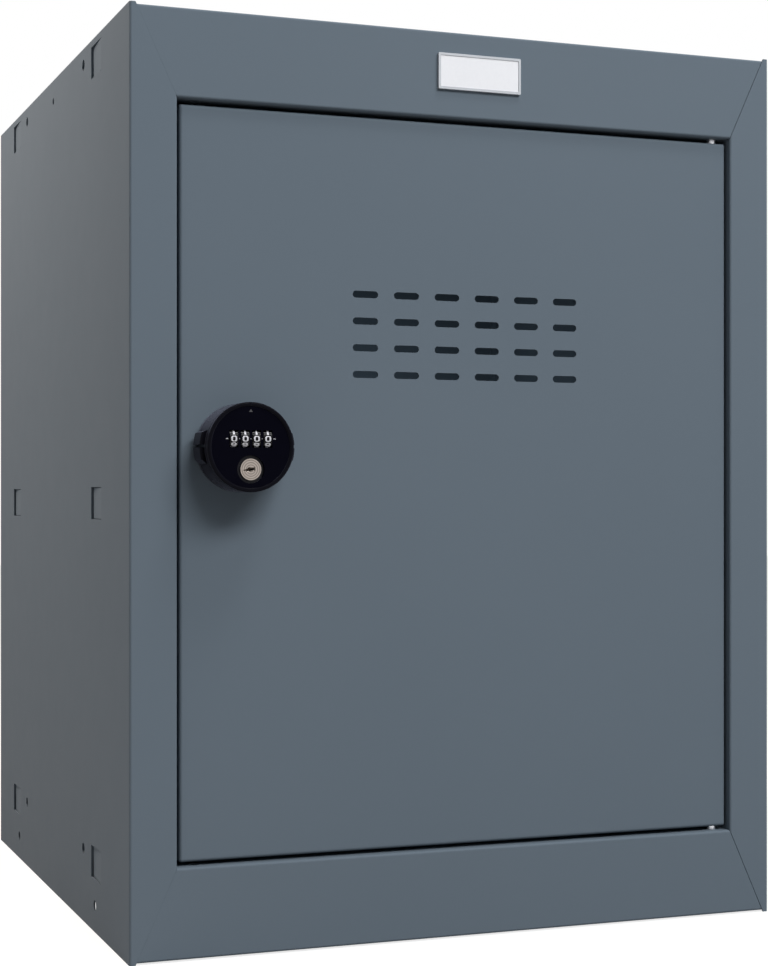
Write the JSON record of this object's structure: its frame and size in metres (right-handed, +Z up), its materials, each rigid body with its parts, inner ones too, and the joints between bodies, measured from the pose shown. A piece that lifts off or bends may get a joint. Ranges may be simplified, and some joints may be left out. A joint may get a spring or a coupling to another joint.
{
  "type": "cube locker",
  "caption": "Folded steel cube locker with a right-hinged recessed door, vent slots, a blank label holder and a round combination cam lock with a key override.",
  "frame": {"origin": "on the ground, at the middle of the whole object's box, lock included", "axes": "+Z up, front faces -Y, +X to the right seen from the front"},
  "size_m": [0.39, 0.4212, 0.51],
  "materials": {
    "cabinet_paint": "fine powder coat",
    "door_paint": "fine powder coat",
    "zinc_plated_steel": "bright zinc",
    "natural_nylon": "satin",
    "dial_plastic": "gloss",
    "black_rubber": "matt",
    "badge_frame": "satin silver",
    "badge_card": "matt card",
    "black_base": "satin",
    "black_gloss": "gloss",
    "black_face": "satin gloss",
    "cast_spindle": "cast zinc",
    "nickel_plug": "satin nickel",
    "brass_wafers": "plain"
  },
  "bodies": {
    "cabinet": {"left_side_panel": "cabinet_paint", "right_side_panel": "cabinet_paint", "top_panel": "cabinet_paint", "floor_panel": "cabinet_paint", "back_panel": "cabinet_paint", "door_buffers": "black_rubber", "upper_hinge_pin": "zinc_plated_steel", "lower_hinge_pin": "zinc_plated_steel", "badge_frame": "badge_frame", "badge_card": "badge_card"},
    "door": {"door_skin": "door_paint", "upper_hinge_bush": "natural_nylon", "lower_hinge_bush": "natural_nylon", "lock_gasket": "black_rubber", "lock_base": "black_base", "lock_washer": "zinc_plated_steel", "lock_nut": "zinc_plated_steel"},
    "lock_knob": {"knob_housing": "black_gloss", "knob_face": "black_face", "knob_back_plate": "black_base", "knob_screws": "zinc_plated_steel", "cam_spindle": "cast_spindle", "locking_cam": "zinc_plated_steel", "cam_washer": "zinc_plated_steel", "cam_screw": "zinc_plated_steel", "dial_axle": "zinc_plated_steel", "detent_spring": "zinc_plated_steel", "cylinder_barrel": "black_base"},
    "code_fence": {"code_fence": "zinc_plated_steel", "follower_pin": "zinc_plated_steel"},
    "key_plug": {"key_plug": "nickel_plug", "plug_wafers": "brass_wafers", "plug_tail": "brass_wafers"},
    "dial_1": {"dial_wheel_1": "dial_plastic", "code_sleeve_1": "natural_nylon"},
    "dial_2": {"dial_wheel_2": "dial_plastic", "code_sleeve_2": "natural_nylon"},
    "dial_3": {"dial_wheel_3": "dial_plastic", "code_sleeve_3": "natural_nylon"},
    "dial_4": {"dial_wheel_4": "dial_plastic", "code_sleeve_4": "natural_nylon"}
  },
  "joints": [
    {"name": "door_hinge", "type": "hinge", "parent": "cabinet", "child": "door", "pos_m": [0.16125, -0.18045, 0.25535], "axis": [0, 0, 1], "range_deg": [0, 100]},
    {"name": "lock_turn", "type": "hinge", "parent": "door", "child": "lock_knob", "pos_m": [-0.1344, -0.18565, 0.2743], "axis": [0, 1, 0], "range_deg": [0, 90]},
    {"name": "fence_slide", "type": "slide", "parent": "lock_knob", "child": "code_fence", "axis": [1, 0, 0], "range_m": [0, 0.0011]},
    {"name": "key_turn", "type": "hinge", "parent": "lock_knob", "child": "key_plug", "pos_m": [-0.1344, -0.20975, 0.2625], "axis": [0, 1, 0], "range_deg": [0, 90]},
    {"name": "dial_1_spin", "type": "hinge", "parent": "lock_knob", "child": "dial_1", "pos_m": [-0.14377, -0.20465, 0.2787], "axis": [1, 0, 0], "continuous": true},
    {"name": "dial_2_spin", "type": "hinge", "parent": "lock_knob", "child": "dial_2", "pos_m": [-0.13753, -0.20465, 0.2787], "axis": [1, 0, 0], "continuous": true},
    {"name": "dial_3_spin", "type": "hinge", "parent": "lock_knob", "child": "dial_3", "pos_m": [-0.13128, -0.20465, 0.2787], "axis": [1, 0, 0], "continuous": true},
    {"name": "dial_4_spin", "type": "hinge", "parent": "lock_knob", "child": "dial_4", "pos_m": [-0.12502, -0.20465, 0.2787], "axis": [1, 0, 0], "continuous": true}
  ],
  "couplings": [
    {"joint": "fence_slide", "follows": "lock_turn", "m_per_rad": 0.0007}
  ]
}
